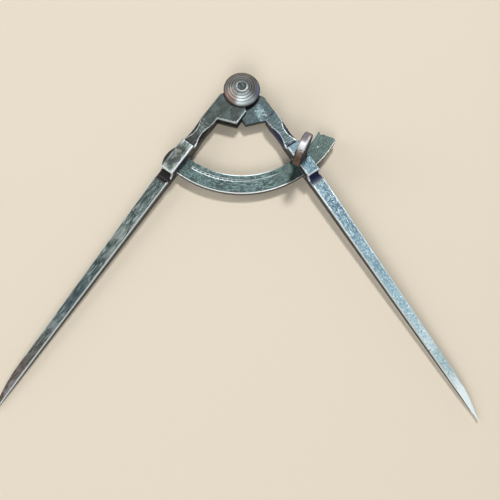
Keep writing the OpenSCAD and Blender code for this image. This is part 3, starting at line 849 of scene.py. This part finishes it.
def thumbFields(tree, found):
    turn = thumb["faceTurn"]
    axis, rear = (math.cos(turn), -math.sin(turn), 0), (math.sin(turn), math.cos(turn), 0)
    facing = addNode(tree, "VectorMath", {0: found["normal"], 1: axis}, "Value", operation="DOT_PRODUCT")
    offset = addNode(tree, "VectorMath", {0: found["spot"], 1: (screwX, screwY, 0)}, operation="SUBTRACT")
    return {
        "facing": addNode(tree, "Math", {0: facing}, operation="ABSOLUTE"),
        "rearwards": addNode(tree, "VectorMath", {0: offset, 1: rear}, "Value", operation="DOT_PRODUCT"),
        "sideways": addNode(tree, "VectorMath", {0: offset, 1: axis}, "Value", operation="DOT_PRODUCT"),
        "height": addNode(tree, "SeparateXYZ", {0: found["spot"]}, "Z"),
    }


thumbSteel = agedSteel("filedSteelBrown", thumbLook, thumbFields)
screwSteel = agedSteel("threadedSteel", screwLook)
makePlain("thumb_disc", "thumbDisc", thumbSteel, "thumb_piece", thumb)

# The shank: a thread, and a core with its bearing tip and spigot inside it
bm = bmesh.new()
root, crest, pitch = screw["root"], screw["crest"], screw["pitch"]
neck, spigot, spigotEnd = screw["neck"], screw["spigot"], screw["neck"] + screw["spigotLong"]
turns = math.ceil((neck - screw["threadFrom"]) / pitch) + 2
start = screw["threadFrom"] - pitch
rise, top, fall = screw["ridge"]
ridge = [(root, 0), (crest, rise), (crest, top), (root, fall), (root, 1)]
points = [bm.verts.new((r * mm, 0, (start + z * pitch) * mm)) for r, z in ridge]
edges = [bm.edges.new(pair) for pair in zip(points, points[1:])]
bmesh.ops.spin(bm, geom=points + edges, cent=(0, 0, 0), axis=(0, 0, 1), angle=2 * math.pi * turns,
               steps=screw["steps"] * turns, dvec=(0, 0, pitch * mm / screw["steps"]))
bmesh.ops.remove_doubles(bm, verts=bm.verts, dist=screw["merge"] * mm)
for height, side in ((neck - screw["threadGap"], 1), (screw["threadFrom"], -1)):
    cutPlane(bm, (0, 0, height * mm), (0, 0, side), clear=True)
bmesh.ops.holes_fill(bm, edges=[e for e in bm.edges if len(e.link_faces) == 1], sides=0)
bmesh.ops.recalc_face_normals(bm, faces=bm.faces)
core = bmesh.new()
coreOutline = [(0, screw["tip"]), (screw["tipRadius"], screw["tip"]), (root, screw["tip"] + screw["cone"]),
               (root, neck), (spigot, neck), (spigot, spigotEnd), (0, spigotEnd)]
spinOutline(core, coreOutline, screw["steps"])
coreMesh = bpy.data.meshes.new("shankCore")
core.to_mesh(coreMesh)
core.free()
bm.from_mesh(coreMesh)
bpy.data.meshes.remove(coreMesh)
bmesh.ops.translate(bm, verts=bm.verts, vec=(screwX * mm, screwY * mm, 0))
makePiece(bm, "screwShank", screwSteel, "clamp_screw", "screw_shank")
print("screw ready")

# The floor touches the rivet's back end and the bellies of the legs, so it leans a little in this frame
floorLean = {"reachM": 1.1, "segments": 96, "rise": -0.02977, "colour": "#e4d8c4", "rough": 0.8}
bm = bmesh.new()
bmesh.ops.create_circle(bm, cap_ends=True, segments=floorLean["segments"], radius=floorLean["reachM"])
for v in bm.verts:
    v.co.z = v.co.y * floorLean["rise"]
floorMesh = bpy.data.meshes.new("floor")
bm.to_mesh(floorMesh)
bm.free()
floorPaint = bpy.data.materials.new("paleFloor")
floorPaint.use_nodes = True
floorSkin = floorPaint.node_tree.nodes["Principled BSDF"]
floorSkin.inputs["Base Color"].default_value = linearColour(floorLean["colour"])
floorSkin.inputs["Roughness"].default_value = floorLean["rough"]
floorMesh.materials.append(floorPaint)
floor = bpy.data.objects.new("floor", floorMesh)
scene.collection.objects.link(floor)

# The photograph was taken from above and a little in front; distances in mm, angles in degrees
camera = {
    "lens": 64.8, "sensor": 36, "clip": 10, "target": (5.539, -82.76, 6.25), "distance": 443.9,
    "elevation": 77.0, "azimuth": -0.932,
}
up, turn = math.radians(camera["elevation"]), math.radians(camera["azimuth"])
forward = Vector((math.sin(turn) * math.cos(up), math.cos(turn) * math.cos(up), -math.sin(up)))
cameraData = bpy.data.cameras.new("camera")
cameraData.sensor_width = camera["sensor"]
cameraData.lens = camera["lens"]
cameraData.clip_start = camera["clip"] * mm
cameraObject = bpy.data.objects.new("camera", cameraData)
cameraObject.location = (Vector(camera["target"]) - camera["distance"] * forward) * mm
cameraObject.rotation_euler = forward.to_track_quat("-Z", "Y").to_euler()
scene.collection.objects.link(cameraObject)
scene.camera = cameraObject

# Metres and watts
lamps = {
    "window": {"from": (0.18, 0.5, 1.05), "at": (0.0, -0.08, 0.0), "size": 0.2, "watts": 8.0},
    "front": {"from": (-0.1, -1.0, 0.95), "at": (0.0, -0.05, 0.0), "size": 0.8, "watts": 7.0},
    "left": {"from": (-0.95, 0.0, 0.65), "at": (0.0, -0.05, 0.0), "size": 0.7, "watts": 3.0},
}
for name, lamp in lamps.items():
    light = bpy.data.lights.new(name, "AREA")
    light.shape = "DISK"
    light.size = lamp["size"]
    light.energy = lamp["watts"]
    holder = bpy.data.objects.new(name, light)
    holder.location = lamp["from"]
    holder.rotation_euler = (Vector(lamp["at"]) - Vector(lamp["from"])).to_track_quat("-Z", "Y").to_euler()
    scene.collection.objects.link(holder)

# Pale walls and a darker ceiling: the glow falls from one strength to the other between two heights
walls = {"colour": "#e9edf0", "heights": (0.08, 0.4), "glow": (1.1, 0.15)}
world = bpy.data.worlds.new("studio")
world.use_nodes = True
sky = world.node_tree
backdrop = sky.nodes["Background"]
backdrop.inputs["Color"].default_value = linearColour(walls["colour"])
direction = addNode(sky, "TexCoord", {}, "Generated")
height = addNode(sky, "SeparateXYZ", {0: direction}, "Z")
fading = dict(enumerate((height, *walls["heights"], *walls["glow"])))
sky.links.new(addNode(sky, "MapRange", fading), backdrop.inputs["Strength"])
scene.world = world
scene.view_settings.view_transform = "Standard"
print("stage ready")
